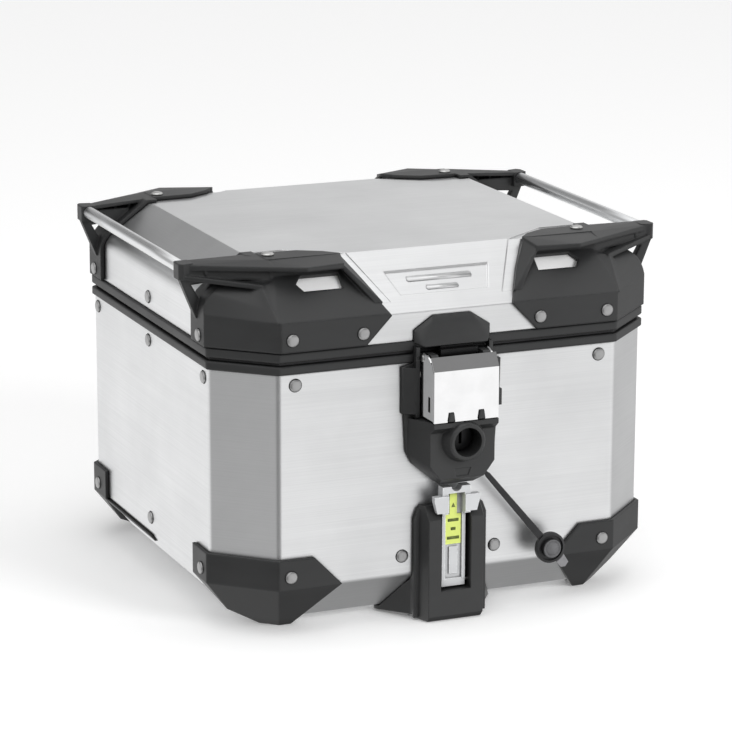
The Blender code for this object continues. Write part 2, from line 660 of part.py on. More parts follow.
def make_latch_lever(chrome, plastic):
    """Chromed lever of folded sheet with two ears, and its moulded grip insert."""
    face = LEVER_FRONT
    inner = face + LEVER_SHEET
    sheet = [(face, LEVER_BOTTOM), (face, 0.2245), (-0.2048, 0.2355), (-0.2034, 0.2344),
             (inner, 0.2239), (inner, LEVER_BOTTOM)]
    lever = extrude("latch_lever", sheet, "X", -LEVER_HALF_X, LEVER_HALF_X)
    ear = [(face + 0.0005, 0.1817), (face + 0.0005, 0.2200), (-0.2060, 0.2290), (-0.2010, 0.2326),
           (-0.1960, 0.2350), (-0.1906, 0.2366), (-0.1860, 0.2352), (-0.1832, 0.2310),
           (-0.1785, 0.2180), (-0.1785, 0.2120), (-0.1815, 0.2040), (-0.1825, 0.1817)]
    for side in (-1, 1):
        low, high = sorted((side * (LEVER_HALF_X - 0.0016), side * LEVER_HALF_X))
        fuse(lever, extrude("ear", ear, "X", low, high))
    for spot in (PIVOT, HOOK_PIN):
        cut(lever, rod("pin_bore", spot, "X", -0.05, 0.05, LATCH_PIN_RADIUS + GAP, 16))
    cut(lever, box("slot", (-0.05, 0.05), (-0.2030, -0.1990), (0.1880, 0.2010)))
    tooth = [(0.0095, 0.1750), (0.0115, 0.1890), (0.0160, 0.1890), (0.0180, 0.1750)]
    for side in (-1, 1):
        notch = [(side * x, z) for x, z in tooth]
        cut(lever, extrude("notch", notch, "Y", -0.22, -0.206))
    paint(lever, chrome)
    insert = box("lever_insert", (-0.0260, 0.0260), (inner + GAP, -0.2070), (0.1812, 0.1872))
    tooth = [(0.0107, 0.1812), (0.0118, 0.1885), (0.0157, 0.1885), (0.0168, 0.1812)]
    for side in (-1, 1):
        block = [(side * x, z) for x, z in tooth]
        fuse(insert, extrude("tooth", block, "Y", face - 0.0016, -0.2075))
    paint(insert, plastic)
    return lever, insert


def make_latch_pins(steel):
    """Two short pivot pins and the long pin that carries the hook."""
    head = 0.0030
    outer = LEVER_HALF_X + GAP
    pins = []
    for side, sign in (("left", -1), ("right", 1)):
        profile = [(LATCH_PIN_RADIUS, sign * 0.0210), (LATCH_PIN_RADIUS, sign * outer),
                   (head, sign * outer), (head, sign * (outer + 0.0008)),
                   (head * 0.6, sign * (outer + 0.0014))]
        pins.append(smooth(turned("lever_pivot_pin_" + side, profile, PIVOT, "X", 16, steel)))
    profile = [(head * 0.6, -outer - 0.0014), (head, -outer - 0.0008), (head, -outer),
               (LATCH_PIN_RADIUS, -outer), (LATCH_PIN_RADIUS, outer), (head, outer),
               (head, outer + 0.0008), (head * 0.6, outer + 0.0014)]
    pins.append(smooth(turned("hook_pin", profile, HOOK_PIN, "X", 16, steel)))
    return pins


def make_latch_hook(steel):
    """Hook plate that draws the lid down, hung on the hook pin."""
    outline = [(-0.1790, 0.2128), (-0.1776, 0.2145), (-0.1775, 0.2172), (-0.1790, 0.2190),
               (-0.1818, 0.2215), (-0.1878, 0.2320), (-0.1912, 0.2350), (-0.1912, 0.2392),
               (-0.1960, 0.2392), (-0.1960, 0.2335), (-0.1855, 0.2160), (-0.1840, 0.2130),
               (-0.1812, 0.2122)]
    hook = extrude("latch_hook", outline, "X", -0.0170, 0.0170)
    cut(hook, rod("eye", HOOK_PIN, "X", -0.05, 0.05, LATCH_PIN_RADIUS + GAP, 16))
    paint(hook, steel)
    set_origin(hook, (0, *HOOK_PIN))


def make_lid_catch(plastic, steel):
    """Moulded cover on the lid's front and the striker bar below it."""
    rim = CASE_Y - RIM_HALF_Y - GAP
    skirt = CASE_Y - LID_HALF_Y - GAP
    cover = hull("lid_catch_cover", [(s * x, y, z) for s in (-1, 1) for x, y, z in (
        (0.0283, -0.1905, 0.2414), (0.0300, rim, 0.2414), (0.0350, rim, 0.2440),
        (0.0350, rim, 0.2540), (0.0320, -0.1845, 0.2440), (0.0305, -0.1840, 0.2535),
        (0.0189, -0.1860, 0.2585), (0.0173, rim, 0.2656))])
    back = hull("back", [(s * x, y, z) for s in (-1, 1) for x, y, z in (
        (0.0345, rim - 0.001, 0.2456), (0.0345, skirt, 0.2456), (0.0345, rim - 0.001, 0.2538),
        (0.0345, skirt, 0.2538), (0.0170, rim - 0.001, 0.2652), (0.0170, skirt, 0.2652))])
    fuse(cover, back)
    paint(cover, plastic)
    box("lid_striker", (-0.0150, 0.0150), (-0.1904, rim), (0.2372, 0.2410), steel)


# ---------------------------------------------------------------- quick-release base
def make_release_base(plastic):
    """Moulded block below the lock that holds the release lever and reaches under the case."""
    back = WALL_FRONT - GAP
    face = RELEASE_FRONT
    base = hull("release_base", [(s * x, y, z) for s in (-1, 1) for x, y, z in (
        (0.0253, face, 0.0050), (0.0253, face, 0.0905), (0.0250, -0.1850, 0.1010),
        (0.0290, back, 0.1010), (0.0305, back, 0.0860), (0.0305, back, 0.0415),
        (0.0305, back, 0.0010), (0.0245, -0.1905, 0.0004))])
    flange = extrude("flange", [(-0.0335, 0.0020), (0.0335, 0.0020), (0.0335, 0.0900),
                                (0.0300, 0.0990), (-0.0300, 0.0990), (-0.0335, 0.0900)],
                     "Y", -0.1808, back)
    under = extrude("under", [(-0.1773, 0.0408), (-0.1600, 0.0203), (-0.1473, 0.0052),
                              (-0.1473, 0.0010), (-0.1700, 0.0010), (-0.1775, 0.0060)],
                    "X", -0.0335, 0.0335)
    wing = hull("wing", [(s * x, y, z) for s in (-1, 1) for x, y, z in (
        (0.0315, -0.1772, 0.0040), (0.0315, -0.1772, 0.0380), (0.0300, -0.1700, 0.0006),
        (0.0530, -0.1400, 0.0006), (0.0530, -0.1400, 0.0060), (0.0530, -0.1460, 0.0020))])
    fuse(base, flange, under, wing)
    cut(base, body_block(GAP, None, 0.100))
    cut(base, box("recess", (-0.0138, 0.0138), (-0.20, -0.1790), (0.0270, 0.12)))
    cut(base, rod("bore", RELEASE_PIVOT, "X", -0.0180, 0.0180, 0.0018, 16))
    cut(base, box("claw_way", (-0.0108, 0.0108), (-0.1745, -0.14), (-0.01, 0.0075)))
    paint(base, plastic)


def make_release_lever(grey, yellow, steel):
    """Pull-out lever in the base, its plain label, its pin and the claw that it moves."""
    front = -0.1880
    half_x = 0.0108
    lever = box("release_lever", (-half_x, half_x), (-0.1860, -0.1810), (0.0350, 0.0950))
    rails = []
    for side in (-1, 1):
        low, high = sorted((side * half_x, side * (half_x - 0.0032)))
        rails.append(box("rail", (low, high), (front, -0.1812), (0.0350, 0.0960)))
    bar = box("bar", (-0.0040, 0.0040), (-0.1875, -0.1812), (0.0400, 0.0640))
    foot = box("foot", (-half_x, half_x), (-0.1876, -0.1812), (0.0290, 0.0360))
    hat = hull("hat", [(s * x, y, z) for s in (-1, 1) for x, y, z in (
        (0.0183, -0.1952, 0.0964), (0.0210, -0.1952, 0.1070), (0.0210, -0.1952, 0.1110),
        (0.0183, -0.1895, 0.0964), (0.0210, -0.1895, 0.1070), (0.0210, -0.1895, 0.1110))])
    crown = box("crown", (-0.0130, 0.0130), (-0.1935, -0.1845), (0.0945, 0.1187))
    fuse(lever, *rails, bar, foot, hat, crown)
    cut(lever, rod("notch", (0, 0.1190), "Y", -0.21, -0.17, 0.0048, 24))
    cut(lever, box("neck_room", (-0.0076, 0.0076), (-0.20, -0.1860), (0.0900, 0.1128)))
    cut(lever, rod("bore", RELEASE_PIVOT, "X", -0.03, 0.03, 0.0018, 16))
    paint(lever, grey)
    set_origin(lever, (0, *RELEASE_PIVOT))
    plate = -0.1860 - GAP
    label = extrude("release_label", [(-0.0072, 0.0660), (0.0072, 0.0660), (0.0072, 0.0925),
                                      (0.0034, 0.0925), (0.0034, 0.1120), (-0.0034, 0.1120),
                                      (-0.0034, 0.0925), (-0.0072, 0.0925)],
                    "Y", plate - 0.0004, plate, yellow)
    set_origin(label, (0, *RELEASE_PIVOT))
    smooth(rod("release_pin", RELEASE_PIVOT, "X", -0.0176, 0.0176, 0.0015, 16, steel))
    claw = extrude("rack_claw", [(-0.1650, 0.0012), (-0.1500, 0.0012), (-0.1500, 0.0030),
                                 (-0.1540, 0.0046), (-0.1540, 0.0068), (-0.1650, 0.0068)],
                   "X", -0.0100, 0.0100, steel)
    set_origin(claw, (0, -0.1600, 0.0040))


def make_dust_cap(rubber):
    """Round cap for the keyhole on its moulded strap."""
    x, z = CAP_CENTRE
    profile = [(0.0083, CAP_Y - 0.0040), (0.0083, CAP_Y + 0.0005), (0.0112, CAP_Y + 0.0005),
               (0.0112, CAP_Y - 0.0020), (0.0135, CAP_Y - 0.0012), (0.0135, CAP_Y + 0.0030)]
    cap = turned("dust_cap", profile, CAP_CENTRE, "Y", 32)
    tab = hull("tab", [(x + dx, y, z + dz) for dx, dz in ((0.0040, -0.0110), (0.0110, -0.0040),
                                                         (0.0180, -0.0150), (0.0150, -0.0190),
                                                         (0.0110, -0.0190))
                       for y in (CAP_Y + 0.0005, CAP_Y + 0.0025)])
    fuse(cap, tab)
    smooth(paint(cap, rubber))
    root = Vector(CAP_ROOT)
    way = Vector(CAP_CENTRE) - root
    way.normalize()
    across = Vector((-way.y, way.x))
    end = Vector(CAP_CENTRE) - way * (0.0135 + GAP)
    outline = []
    widths = ((root, 0.0012), (root + way * 0.004, 0.0023), (end, 0.0032))
    outline += [spot + across * half for spot, half in widths]
    outline += [spot - across * half for spot, half in reversed(widths)]
    strap = extrude("dust_cap_strap", [tuple(p) for p in outline], "Y", CAP_Y, CAP_Y + 0.0024,
                    rubber)
    for piece in (cap, strap):
        set_origin(piece, (CAP_ROOT[0], CAP_Y, CAP_ROOT[1]))


# ---------------------------------------------------------------- underside and inner plates
def make_base_plates(plastic, metal):
    """Plate under the floor that sits on the luggage rack, and the stiffeners inside."""
    half_x, half_y = 0.130, 0.115
    corner = 0.030
    outline = [(-half_x + corner, -half_y), (half_x - corner, -half_y), (half_x, -half_y + corner),
               (half_x, half_y - corner), (half_x - corner, half_y), (-half_x + corner, half_y),
               (-half_x, half_y - corner), (-half_x, -half_y + corner)]
    outline = [(x, y + CASE_Y) for x, y in outline]
    plate = extrude("base_plate", outline, "Z", 0.0, FLOOR_Z - GAP)
    for side in (-1, 1):
        low, high = sorted((side * 0.070, side * 0.100))
        cut(plate, box("hook_slot", (low, high), (0.080, 0.096), (-0.01, 0.01)))
    paint(plate, plastic)
    floor = FLOOR_Z + SHEET + GAP
    inner = [(x * 0.80, (y - CASE_Y) * 0.80 + CASE_Y) for x, y in outline]
    extrude("floor_stiffener", inner, "Z", floor, floor + 0.0020, metal)
    inside = WALL_FRONT + SHEET + GAP
    box("lock_backing_plate", (-0.0380, 0.0380), (inside, inside + 0.0020), (0.0480, 0.2200),
        metal)


def build():
    """Build the whole top case."""
    clear_scene()
    alu = material("brushed_aluminium", (0.74, 0.74, 0.74), 0.34, 1.0)
    stiffener = material("plain_aluminium", (0.62, 0.62, 0.62), 0.45, 1.0)
    black = material("black_plastic", (0.055, 0.055, 0.057), 0.55)
    rubber = material("black_rubber", (0.03, 0.03, 0.03), 0.75)
    chrome = material("chromed_steel", (0.86, 0.86, 0.87), 0.08, 1.0)
    steel = material("zinc_steel", (0.62, 0.62, 0.60), 0.30, 1.0)
    grey = material("light_grey_plastic", (0.55, 0.55, 0.55), 0.45)
    yellow = material("yellow_label", (0.78, 0.91, 0.16), 0.50)
    make_body(alu, black)
    make_seal(rubber)
    make_lid(alu, black)
    make_corner_protectors(black)
    make_brackets(black)
    make_tubes(alu, steel)
    make_hinges(alu, steel)
    make_lock_housing(black)
    make_lock_cylinder(steel)
    lever, insert = make_latch_lever(chrome, black)
    pins = make_latch_pins(steel)
    for piece in (lever, insert, *pins):
        set_origin(piece, (0, *PIVOT))
    make_latch_hook(steel)
    make_lid_catch(black, steel)
    make_release_base(black)
    make_release_lever(grey, yellow, steel)
    make_dust_cap(rubber)
    make_base_plates(black, stiffener)
    lid_nodes = ("lid_shell", "lid_rim", "lid_seal", "lid_catch_cover", "lid_striker",
                 "bracket_front_left", "bracket_front_right", "bracket_rear_left",
                 "bracket_rear_right", "side_tube_left", "side_tube_right",
                 "top_screw_front_left", "top_screw_front_right", "top_screw_rear_left",
                 "top_screw_rear_right")
    for name in lid_nodes:
        set_origin(bpy.data.objects[name], (0, HINGE_Y, HINGE_Z))


build()
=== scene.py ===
"""Looks of an aluminium motorcycle top case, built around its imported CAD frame.

Metres, +Z up, the lock side faces -Y and the hinge side faces +Y.
"""
import json
import math

import bmesh
import bpy
from mathutils import Matrix, Vector

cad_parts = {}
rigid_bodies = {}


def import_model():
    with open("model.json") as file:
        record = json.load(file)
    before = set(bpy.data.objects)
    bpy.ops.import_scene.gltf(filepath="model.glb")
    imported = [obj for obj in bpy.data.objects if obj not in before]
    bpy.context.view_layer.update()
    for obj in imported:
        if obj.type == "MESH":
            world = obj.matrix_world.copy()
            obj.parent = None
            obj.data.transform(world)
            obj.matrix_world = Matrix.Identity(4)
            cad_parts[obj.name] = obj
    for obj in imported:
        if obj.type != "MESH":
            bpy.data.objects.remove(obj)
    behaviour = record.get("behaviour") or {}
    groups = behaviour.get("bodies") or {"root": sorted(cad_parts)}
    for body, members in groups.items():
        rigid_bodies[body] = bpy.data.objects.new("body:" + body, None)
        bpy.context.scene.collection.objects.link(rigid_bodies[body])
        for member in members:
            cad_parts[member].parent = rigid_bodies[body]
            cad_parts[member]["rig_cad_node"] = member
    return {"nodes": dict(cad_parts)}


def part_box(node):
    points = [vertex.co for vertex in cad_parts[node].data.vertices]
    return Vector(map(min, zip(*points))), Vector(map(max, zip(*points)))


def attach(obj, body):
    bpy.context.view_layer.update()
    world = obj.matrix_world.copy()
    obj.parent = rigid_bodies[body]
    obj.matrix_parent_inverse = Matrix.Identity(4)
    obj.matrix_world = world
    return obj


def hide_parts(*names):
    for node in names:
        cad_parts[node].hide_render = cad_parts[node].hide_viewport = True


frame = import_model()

NODES = frame["nodes"]
for old in list(bpy.data.objects):
    if old.type != "EMPTY" and "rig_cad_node" not in old:
        bpy.data.objects.remove(old, do_unlink=True)
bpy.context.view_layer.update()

# ---------------------------------------------------------------- dimensions
CASE_Y = 0.014               # middle of the case from front to rear
WALL_X = 0.2006              # outer face of the tub's side walls
WALL_HALF_Y = 0.1910
GUARD_THICK = 0.0034         # corner guard over the tub's walls
LID_X = 0.2003
LID_HALF_Y = 0.1930
COVER_THICK = 0.0038         # bracket cover over the lid
TUBE_X = 0.2135
TUBE_Z = 0.3080
TUBE_RADIUS = 0.0053
TUBE_END = 0.1195
TUB_MOUTH_Z = 0.2259
TUB_FLOOR_Z = 0.0070         # upper face of the tub's floor
LID_MOUTH_Z = 0.2450
LID_CEILING_Z = 0.3112       # lower face of the lid's top
LID_CREASE_Z = 0.2690        # where the lid's front turns into its slope
SLOPE_RUN = 0.0490           # the front slope, along Y
SLOPE_CLIMB = 0.0442         # the front slope, along Z
RECESS_DEPTH = 0.0010        # recess in the front slope
CAP_CENTRE = (0.0865, 0.0554)       # x, z of the dust cap's middle
STAGE_RADIUS = 14.0

WELD = 0.000002              # vertices nearer than this are one
LEVEL = 0.0004               # how far a vertex may be off a plane that it counts as in
FLAT = math.radians(0.6)     # faces that meet at less than this are one

# where the painted highlight in the hand holes rises and where it falls, along X and along Z
HOLE_X = ((0.0840, 0.0850), (0.1390, 0.1380))
HOLE_Z = ((0.2860, 0.2868), (0.3040, 0.3030))


# ---------------------------------------------------------------- node graphs
class Graph:
    """A material's node tree, with short calls for the nodes that the finishes use."""

    def __init__(self, name):
        self.material = bpy.data.materials.new(name)
        self.material.use_nodes = True
        self.tree = self.material.node_tree
        self.shader = self.tree.nodes["Principled BSDF"]
        place = self.tree.nodes.new("ShaderNodeTexCoord")
        self.place = place.outputs["Object"]
        self.facing = place.outputs["Normal"]

    def add(self, kind, values=(), **settings):
        """Add a node; values maps its inputs to numbers or to other nodes' outputs."""
        node = self.tree.nodes.new("ShaderNode" + kind)
        for key, value in settings.items():
            setattr(node, key, value)
        for key, value in dict(values).items():
            socket = node.inputs[key]
            if isinstance(value, bpy.types.NodeSocket):
                self.tree.links.new(value, socket)
            else:
                socket.default_value = value
        return node

    def noise(self, vector, scale, detail=3.0, roughness=0.55):
        """Return a noise texture's value."""
        node = self.add("TexNoise", {"Vector": vector, "Scale": scale, "Detail": detail,
                                     "Roughness": roughness})
        return node.outputs[0]

    def stretched(self, scale):
        """Return the place on the piece, scaled along each axis."""
        return self.add("Mapping", {"Vector": self.place, "Scale": scale}).outputs[0]

    def remap(self, value, low, high, to_low=0.0, to_high=1.0, smooth=False):
        """Map a value from one range to another, held inside the second."""
        node = self.add("MapRange", {"Value": value, "From Min": low, "From Max": high,
                                     "To Min": to_low, "To Max": to_high})
        node.interpolation_type = "SMOOTHSTEP" if smooth else "LINEAR"
        return node.outputs[0]

    def calc(self, operation, a, b=0.0):
        """Return a sum on one or two numbers."""
        return self.add("Math", {0: a, 1: b}, operation=operation).outputs[0]

    def blend(self, factor, a, b):
        """Mix two colours by a factor."""
        node = self.add("Mix", data_type="RGBA")
        for index, value in ((0, factor), (6, a), (7, b)):
            socket = node.inputs[index]
            if isinstance(value, bpy.types.NodeSocket):
                self.tree.links.new(value, socket)
            elif index:
                socket.default_value = (*value, 1.0)
            else:
                socket.default_value = value
        return node.outputs[2]

    def lift(self, factor, a, b):
        """Mix two numbers by a factor."""
        node = self.add("Mix", {0: factor, 2: a, 3: b}, data_type="FLOAT")
        return node.outputs[0]

    def edges(self, radius):
        """Return a mask that is 1 along the piece's worn edges."""
        round_normal = self.add("Bevel", {"Radius": radius}, samples=4).outputs[0]
        flat_normal = self.add("NewGeometry").outputs["Normal"]
        dot = self.add("VectorMath", {0: round_normal, 1: flat_normal},
                       operation="DOT_PRODUCT").outputs["Value"]
        return self.remap(dot, 0.985, 0.90)

    def painted_gap_shade(self, distance, low, high):
        """Return a mask for painted shade: 1 where other surfaces are close, as in a gap or a corner.
        """
        open_sky = self.add("AmbientOcclusion", {"Distance": distance}, samples=6).outputs["AO"]
        return self.remap(open_sky, low, high, 1.0, 0.0, smooth=True)

    def bump(self, height, distance, strength, soften=0.0):
        """Return a bumped normal, on edges that are softened by a radius."""
        values = {"Height": height, "Distance": distance, "Strength": strength}
        if soften:
            values["Normal"] = self.add("Bevel", {"Radius": soften}, samples=6).outputs[0]
        return self.add("Bump", values).outputs[0]

    def set(self, **inputs):
        """Set the shader's sockets; underscores in the names stand for spaces."""
        for key, value in inputs.items():
            socket = self.shader.inputs[key.replace("_", " ")]
            if isinstance(value, bpy.types.NodeSocket):
                self.tree.links.new(value, socket)
            elif isinstance(value, tuple):
                socket.default_value = (*value, 1.0)
            else:
                socket.default_value = value
        return self.material


def painted_hole_sheen(g):
    """Return a mask for painted highlight: 1 on the lid's bare strips behind the brackets' hand
    holes.
    """
    split = g.add("SeparateXYZ", {0: g.place})
    along = g.calc("ABSOLUTE", split.outputs["X"])
    sides = g.calc("MULTIPLY", g.remap(along, *HOLE_X[0]), g.remap(along, *HOLE_X[1]))
    height = split.outputs["Z"]
    band = g.calc("MULTIPLY", g.remap(height, *HOLE_Z[0]), g.remap(height, *HOLE_Z[1]))
    return g.calc("MULTIPLY", sides, band)


def aluminium(name, dark, light, roughness, soften=0.0, metal=1.0, hand_holes=False):
    """Satin anodised sheet: fine brushing, faint clouds, a few rubbed marks, bright edges, painted
    shade in gaps and corners, and a painted highlight behind the hand holes when asked.
    """
    g = Graph(name)
    wall = g.noise(g.stretched((7.0, 7.0, 1500.0)), 1.0, 2.0)
    top = g.noise(g.stretched((7.0, 1500.0, 7.0)), 1.0, 2.0)
    split = g.add("SeparateXYZ", {0: g.facing})
    upward = g.remap(g.calc("ABSOLUTE", split.outputs["Z"]), 0.70, 0.95, smooth=True)
    grain = g.lift(upward, wall, top)
    clouds = g.noise(g.place, 9.0, 4.0)
    rubbed = g.remap(g.noise(g.stretched((4.0, 4.0, 230.0)), 1.0, 5.0, 0.7), 0.66, 0.78)
    worn = g.calc("MULTIPLY", g.edges(0.0016), g.remap(g.noise(g.place, 120.0), 0.35, 0.6))
    colour = g.blend(g.remap(clouds, 0.3, 0.7), dark, light)
    colour = g.blend(g.calc("MULTIPLY", g.remap(grain, 0.3, 0.7), 0.22), colour,
                     tuple(c * 0.86 for c in dark))
    colour = g.blend(g.calc("MULTIPLY", worn, 0.45), colour, (0.93, 0.93, 0.93))
    # painted shade: darker where other surfaces are close, in gaps and corners
    colour = g.blend(g.calc("MULTIPLY", g.painted_gap_shade(0.006, 0.35, 0.80), 0.65), colour,
                     (0.10, 0.10, 0.10))
    gloss = g.remap(grain, 0.25, 0.75, roughness - 0.05, roughness + 0.06)
    gloss = g.lift(g.calc("MULTIPLY", rubbed, 0.35), gloss, roughness - 0.10)
    normal = g.bump(grain, 0.00002, 0.30, soften)
    if not hand_holes:
        return g.set(Base_Color=colour, Roughness=gloss, Metallic=metal, Normal=normal)
    # painted highlight: behind the hand holes the metal is made white and non-metallic so that it
    # reads bright
    hole_sheen_mask = painted_hole_sheen(g)
    colour = g.blend(hole_sheen_mask, colour, (0.97, 0.97, 0.97))
    return g.set(Base_Color=colour, Roughness=gloss, Metallic=g.calc("SUBTRACT", 1.0, hole_sheen_mask),
                 Normal=normal)


def plastic(name, dark, light, roughness, grain=1.0, soften=0.0, shade=0.5):
    """Moulded plastic: spark-eroded grain, faint flow marks, scuffed edges, painted shade in the
    gaps.
    """
    g = Graph(name)
    pores = g.add("TexVoronoi", {"Vector": g.place, "Scale": 1250.0}).outputs["Distance"]
    fine = g.noise(g.place, 2600.0, 2.0)
    flow = g.noise(g.stretched((14.0, 14.0, 30.0)), 1.0, 4.0)
    scuff = g.calc("MULTIPLY", g.edges(0.0012), g.remap(g.noise(g.place, 260.0, 4.0), 0.42, 0.62))
    colour = g.blend(g.remap(flow, 0.3, 0.7), dark, light)
    colour = g.blend(g.calc("MULTIPLY", scuff, 0.45), colour, tuple(c * 2.2 for c in light))
    # painted shade: darker where other surfaces are close; shade sets how strong it is
    colour = g.blend(g.calc("MULTIPLY", g.painted_gap_shade(0.008, 0.30, 0.85), shade), colour,
                     tuple(c * 0.2 for c in dark))
    gloss = g.remap(flow, 0.3, 0.7, roughness - 0.05, roughness + 0.07)
    height = g.calc("ADD", g.calc("MULTIPLY", pores, 0.7), g.calc("MULTIPLY", fine, 0.5))
    normal = g.bump(height, 0.00010 * grain, 0.35, soften)
    return g.set(Base_Color=colour, Roughness=gloss, Normal=normal, Specular_IOR_Level=0.5)


def rubber(name, dark, light, roughness):
    """Soft moulded rubber with a dusty bloom."""
    g = Graph(name)
    bloom = g.noise(g.place, 60.0, 5.0, 0.65)
    fine = g.noise(g.place, 1800.0, 2.0)
    colour = g.blend(g.remap(bloom, 0.35, 0.7), dark, light)
    gloss = g.remap(bloom, 0.3, 0.7, roughness - 0.06, roughness + 0.08)
    return g.set(Base_Color=colour, Roughness=gloss, Normal=g.bump(fine, 0.00008, 0.3))


def polished(name, colour, roughness, streak=(3.0, 900.0, 3.0), bow=0.0):
    """Plated or polished metal with hairline marks and light smears; its sides may bow out."""
    g = Graph(name)
    hair = g.noise(g.stretched(streak), 1.0, 3.0)
    smear = g.noise(g.place, 70.0, 4.0)
    tint = g.blend(g.remap(smear, 0.3, 0.75), colour, tuple(c * 0.93 for c in colour))
    gloss = g.lift(g.remap(hair, 0.45, 0.75), roughness, roughness + 0.10)
    gloss = g.calc("ADD", gloss, g.remap(smear, 0.4, 0.8, 0.0, 0.05))
    normal = g.bump(hair, 0.00001, 0.25)
    if bow:
        across = g.calc("ABSOLUTE", g.add("SeparateXYZ", {0: g.facing}).outputs["X"])
        lean = g.add("CombineXYZ", {1: g.remap(across, 0.80, 0.95, 0.0, -bow)}).outputs[0]
        bowed = g.add("VectorMath", {0: normal, 1: lean}, operation="ADD").outputs[0]
        normal = g.add("VectorMath", {0: bowed}, operation="NORMALIZE").outputs[0]
    return g.set(Base_Color=tint, Roughness=gloss, Metallic=1.0, Normal=normal)


def cap_rubber():
    """Black rubber that is worn grey on the cap's finger tab."""
    g = Graph("cap_rubber")
    black = g.noise(g.place, 60.0, 5.0, 0.65)
    centre = (CAP_CENTRE[0], -0.1990, CAP_CENTRE[1])
    away = g.add("VectorMath", {0: g.place, 1: centre}, operation="DISTANCE")
    tab = g.remap(away.outputs["Value"], 0.0145, 0.0160, smooth=True)
    base = g.blend(g.remap(black, 0.35, 0.7), (0.012, 0.012, 0.013), (0.034, 0.034, 0.036))
    worn = g.blend(g.remap(black, 0.35, 0.7), (0.20, 0.20, 0.21), (0.32, 0.32, 0.33))
    gloss = g.remap(black, 0.3, 0.7, 0.36, 0.50)
    fine = g.noise(g.place, 1800.0, 2.0)
    return g.set(Base_Color=g.blend(tab, base, worn), Roughness=gloss,
                 Normal=g.bump(fine, 0.00008, 0.3))


SHEET = aluminium("satin_aluminium", (0.75, 0.755, 0.76), (0.86, 0.865, 0.87), 0.36, 0.0016,
                  hand_holes=True)
INSIDE = aluminium("mill_finish_aluminium", (0.58, 0.585, 0.59), (0.68, 0.685, 0.69), 0.52,
                   metal=0.30)
TUBE = aluminium("anodised_tube", (0.78, 0.79, 0.80), (0.86, 0.865, 0.87), 0.30)
BLACK = plastic("black_moulding", (0.020, 0.0205, 0.021), (0.030, 0.0305, 0.031), 0.46, 1.0, 0.0028)
LATCH_BLACK = plastic("latch_moulding", (0.024, 0.0245, 0.025), (0.034, 0.0345, 0.035), 0.40, 1.0,
                      0.0014)
GREY = plastic("grey_moulding", (0.62, 0.63, 0.64), (0.72, 0.73, 0.74), 0.40, 0.6, 0.0, 0.85)
RUBBER = rubber("black_rubber", (0.012, 0.012, 0.013), (0.030, 0.030, 0.032), 0.55)
CAP_RUBBER = cap_rubber()
CAP_GREY = rubber("worn_rubber", (0.08, 0.08, 0.085), (0.16, 0.16, 0.165), 0.50)
CHROME = polished("chromed_sheet", (0.97, 0.97, 0.975), 0.10, (3.0, 900.0, 3.0), 0.40)
DARK_STEEL = polished("blackened_steel", (0.030, 0.030, 0.031), 0.34)
STEEL = polished("zinc_plated_steel", (0.58, 0.58, 0.57), 0.28, (600.0, 4.0, 4.0))
RIVET = polished("painted_rivet", (0.46, 0.46, 0.46), 0.38, (300.0, 300.0, 300.0))
LABEL = plastic("yellow_green_film", (0.76, 0.88, 0.20), (0.84, 0.95, 0.25), 0.38, 0.3)
MARK = plastic("printed_mark", (0.10, 0.13, 0.03), (0.14, 0.17, 0.05), 0.5, 0.3)


# ---------------------------------------------------------------- softening the CAD nodes
def dress(obj, mat, width):
    """Give a node its finish, and round its edges without touching its own vertices."""
    mesh = obj.data
    mesh.materials.clear()
    mesh.materials.append(mat)
    if "custom_normal" in mesh.attributes:
        mesh.attributes.remove(mesh.attributes["custom_normal"])
    mesh.shade_smooth()
    obj.modifiers.new("weld", "WELD").merge_threshold = WELD
    flat = obj.modifiers.new("flat", "DECIMATE")
    flat.decimate_type = "DISSOLVE"
    flat.angle_limit = FLAT
    edge = obj.modifiers.new("edge", "BEVEL")
    edge.width = width
    edge.segments = 3
    edge.limit_method = "ANGLE"
    edge.angle_limit = math.radians(28)
    edge.use_clamp_overlap = True
    edge.harden_normals = False
    shade = obj.modifiers.new("shade", "WEIGHTED_NORMAL")
    shade.mode = "FACE_AREA_WITH_ANGLE"
    shade.weight = 80
    shade.keep_sharp = False


# nodes, their finish and the width of their rounded edges
FINISHES = [
    ("body_rim lid_rim", BLACK, 0.0012),
    ("lid_seal", RUBBER, 0.0005),
    ("bracket_front_left bracket_front_right bracket_rear_left bracket_rear_right", BLACK, 0.0013),
    ("corner_protector_front_left corner_protector_front_right", BLACK, 0.0012),
    ("corner_protector_rear_left corner_protector_rear_right", BLACK, 0.0008),
    ("top_screw_front_left top_screw_front_right top_screw_rear_left top_screw_rear_right",
     STEEL, 0.0002),
    ("hinge_body_leaf_left hinge_body_leaf_right hinge_lid_leaf_left hinge_lid_leaf_right",
     STEEL, 0.0003),
    ("hinge_pin_left hinge_pin_right lever_pivot_pin_left lever_pivot_pin_right hook_pin",
     STEEL, 0.0002),
    ("release_pin rack_claw", STEEL, 0.0003),
    # the lock cylinder's dark steel is painted shade deep in its barrel
    ("latch_hook lid_striker lock_cylinder", DARK_STEEL, 0.0003),
    ("lock_housing", LATCH_BLACK, 0.0008),
    ("lid_catch_cover", LATCH_BLACK, 0.0016),
    ("latch_lever", CHROME, 0.0005),
    ("lever_insert", LATCH_BLACK, 0.00015),
    ("release_base", LATCH_BLACK, 0.0008),
    ("release_lever", GREY, 0.0006),
    ("release_label", LABEL, 0.0001),
    ("dust_cap_strap", RUBBER, 0.0006),
    ("base_plate", LATCH_BLACK, 0.0010),
    ("floor_stiffener lock_backing_plate", INSIDE, 0.0004),
    ("dust_cap", CAP_RUBBER, 0.0003),
]
for names, finish, width in FINISHES:
    for name in names.split():
        dress(NODES[name], finish, width)


# ---------------------------------------------------------------- sheet-metal tub and lid
def level(item, z):
    """Tell whether an edge or a face lies in the plane at a height."""
    return all(abs(v.co.z - z) < LEVEL for v in item.verts)


